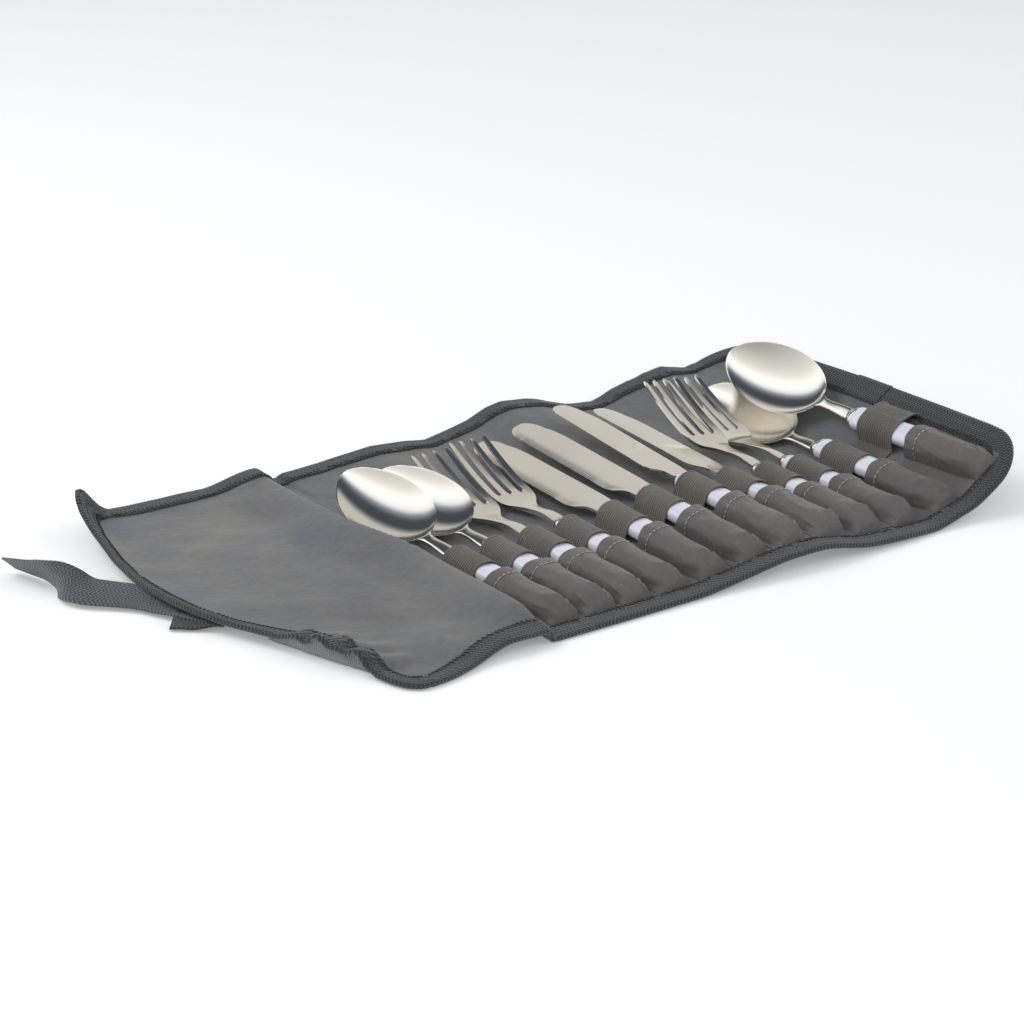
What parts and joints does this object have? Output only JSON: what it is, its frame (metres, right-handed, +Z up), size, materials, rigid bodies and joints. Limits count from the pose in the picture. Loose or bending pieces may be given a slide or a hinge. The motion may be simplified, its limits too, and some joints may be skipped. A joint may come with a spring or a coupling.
{
  "type": "cutlery roll",
  "caption": "Unrolled fabric wrap with spoons, forks and knives held in handle pockets and elastic loops; the bays fold up, the flap folds over and each piece slides out.",
  "frame": {"origin": "centre of the flat underside of the first bay, on the table", "axes": "+X along the row of pieces, from the spoons beside the flap to the last spoons; +Y towards bowls, tines and blades; +Z up"},
  "size_m": [0.5043, 0.264, 0.0491],
  "materials": {
    "lining": "satin woven nylon",
    "edge_tape": "matt woven tape",
    "pocket_cloth": "satin woven nylon",
    "elastic": "ribbed elastic",
    "webbing": "matt woven webbing",
    "steel": "polished stainless steel",
    "handle_plastic": "gloss"
  },
  "bodies": {
    "bay1": {"bay1_panel": "lining", "bay1_edge_tape": "edge_tape", "bay1_pockets": "pocket_cloth", "bay1_elastic": "elastic"},
    "bay2": {"bay2_panel": "lining", "bay2_edge_tape": "edge_tape", "bay2_pockets": "pocket_cloth", "bay2_elastic": "elastic"},
    "bay3": {"bay3_panel": "lining", "bay3_edge_tape": "edge_tape", "bay3_pockets": "pocket_cloth", "bay3_elastic": "elastic"},
    "bay4": {"bay4_panel": "lining", "bay4_edge_tape": "edge_tape", "bay4_pockets": "pocket_cloth", "bay4_elastic": "elastic"},
    "bay5": {"bay5_panel": "lining", "bay5_edge_tape": "edge_tape", "bay5_pockets": "pocket_cloth", "bay5_elastic": "elastic"},
    "bay6": {"bay6_panel": "lining", "bay6_edge_tape": "edge_tape", "bay6_pockets": "pocket_cloth", "bay6_elastic": "elastic"},
    "bay7": {"bay7_panel": "lining", "bay7_edge_tape": "edge_tape", "bay7_pockets": "pocket_cloth", "bay7_elastic": "elastic"},
    "bay8": {"bay8_panel": "lining", "bay8_edge_tape": "edge_tape", "bay8_pockets": "pocket_cloth", "bay8_elastic": "elastic"},
    "flap": {"flap_panel": "lining", "flap_edge_tape": "edge_tape"},
    "tie_long": {"tie_long": "webbing"},
    "tie_short": {"tie_short": "webbing"},
    "spoon1": {"spoon1_head": "steel", "spoon1_handle": "handle_plastic"},
    "spoon2": {"spoon2_head": "steel", "spoon2_handle": "handle_plastic"},
    "fork1": {"fork1_head": "steel", "fork1_handle": "handle_plastic"},
    "fork2": {"fork2_head": "steel", "fork2_handle": "handle_plastic"},
    "knife1": {"knife1_head": "steel", "knife1_handle": "handle_plastic"},
    "knife2": {"knife2_head": "steel", "knife2_handle": "handle_plastic"},
    "knife3": {"knife3_head": "steel", "knife3_handle": "handle_plastic"},
    "knife4": {"knife4_head": "steel", "knife4_handle": "handle_plastic"},
    "fork3": {"fork3_head": "steel", "fork3_handle": "handle_plastic"},
    "fork4": {"fork4_head": "steel", "fork4_handle": "handle_plastic"},
    "spoon3": {"spoon3_head": "steel", "spoon3_handle": "handle_plastic"},
    "spoon4": {"spoon4_head": "steel", "spoon4_handle": "handle_plastic"}
  },
  "joints": [
    {"name": "roll_12", "type": "hinge", "parent": "bay1", "child": "bay2", "pos_m": [0.0225, 0, 0.003], "axis": [0, -1, 0], "range_deg": [0, 12]},
    {"name": "roll_23", "type": "hinge", "parent": "bay2", "child": "bay3", "pos_m": [0.07, 0, 0.0035], "axis": [0, -1, 0], "range_deg": [0, 27]},
    {"name": "roll_34", "type": "hinge", "parent": "bay3", "child": "bay4", "pos_m": [0.096, 0, 0.0068], "axis": [0, -1, 0], "range_deg": [0, 38]},
    {"name": "roll_45", "type": "hinge", "parent": "bay4", "child": "bay5", "pos_m": [0.122, 0, 0.0105], "axis": [0, -1, 0], "range_deg": [0, 38]},
    {"name": "roll_56", "type": "hinge", "parent": "bay5", "child": "bay6", "pos_m": [0.1485, 0, 0.0112], "axis": [0, -1, 0], "range_deg": [0, 38]},
    {"name": "roll_67", "type": "hinge", "parent": "bay6", "child": "bay7", "pos_m": [0.1755, 0, 0.0058], "axis": [0, -1, 0], "range_deg": [0, 26]},
    {"name": "roll_78", "type": "hinge", "parent": "bay7", "child": "bay8", "pos_m": [0.227, 0, 0.003], "axis": [0, -1, 0], "range_deg": [0, 10]},
    {"name": "flap_fold", "type": "hinge", "parent": "bay1", "child": "flap", "pos_m": [-0.043, 0, 0.0138], "axis": [0, -1, 0], "range_deg": [-140, 0]},
    {"name": "tie_long_fold", "type": "hinge", "parent": "flap", "child": "tie_long", "pos_m": [-0.1645, 0, 0.0028], "axis": [0, 1, 0], "range_deg": [0, 75]},
    {"name": "tie_short_fold", "type": "hinge", "parent": "flap", "child": "tie_short", "pos_m": [-0.1645, 0, 0.0028], "axis": [0, 1, 0], "range_deg": [0, 75]},
    {"name": "spoon1_slide", "type": "slide", "parent": "bay1", "child": "spoon1", "axis": [-0.0262, 0.9997, 0], "range_m": [0, 0.004]},
    {"name": "spoon2_slide", "type": "slide", "parent": "bay1", "child": "spoon2", "axis": [-0.0175, 0.9998, 0], "range_m": [0, 0.012]},
    {"name": "fork1_slide", "type": "slide", "parent": "bay2", "child": "fork1", "axis": [0, 1, 0], "range_m": [0, 0.12]},
    {"name": "fork2_slide", "type": "slide", "parent": "bay2", "child": "fork2", "axis": [0.0122, 0.9999, 0.0001], "range_m": [0, 0.12]},
    {"name": "knife1_slide", "type": "slide", "parent": "bay3", "child": "knife1", "axis": [0.0312, 0.9995, 0.004], "range_m": [0, 0.12]},
    {"name": "knife2_slide", "type": "slide", "parent": "bay4", "child": "knife2", "axis": [0.0276, 0.9996, 0.0039], "range_m": [0, 0.12]},
    {"name": "knife3_slide", "type": "slide", "parent": "bay5", "child": "knife3", "axis": [0.0419, 0.9991, 0.0011], "range_m": [0, 0.12]},
    {"name": "knife4_slide", "type": "slide", "parent": "bay6", "child": "knife4", "axis": [0.0342, 0.9994, -0.0068], "range_m": [0, 0.12]},
    {"name": "fork3_slide", "type": "slide", "parent": "bay7", "child": "fork3", "axis": [0.0592, 0.9982, -0.0032], "range_m": [0, 0.003]},
    {"name": "fork4_slide", "type": "slide", "parent": "bay7", "child": "fork4", "axis": [0.0209, 0.9998, -0.0011], "range_m": [0, 0.01]},
    {"name": "spoon3_slide", "type": "slide", "parent": "bay8", "child": "spoon3", "axis": [-0.0034, 1, -0.0008], "range_m": [0, 0.085]},
    {"name": "spoon4_slide", "type": "slide", "parent": "bay8", "child": "spoon4", "axis": [-0.0227, 0.9996, -0.0162], "range_m": [0, 0.001]}
  ],
  "couplings": [
    {"joint": "roll_12", "follows": "roll_45", "ratio": 0.31579},
    {"joint": "roll_23", "follows": "roll_45", "ratio": 0.71053},
    {"joint": "roll_34", "follows": "roll_45", "ratio": 1},
    {"joint": "roll_56", "follows": "roll_45", "ratio": 1},
    {"joint": "roll_67", "follows": "roll_45", "ratio": 0.68421},
    {"joint": "roll_78", "follows": "roll_45", "ratio": 0.26316}
  ]
}
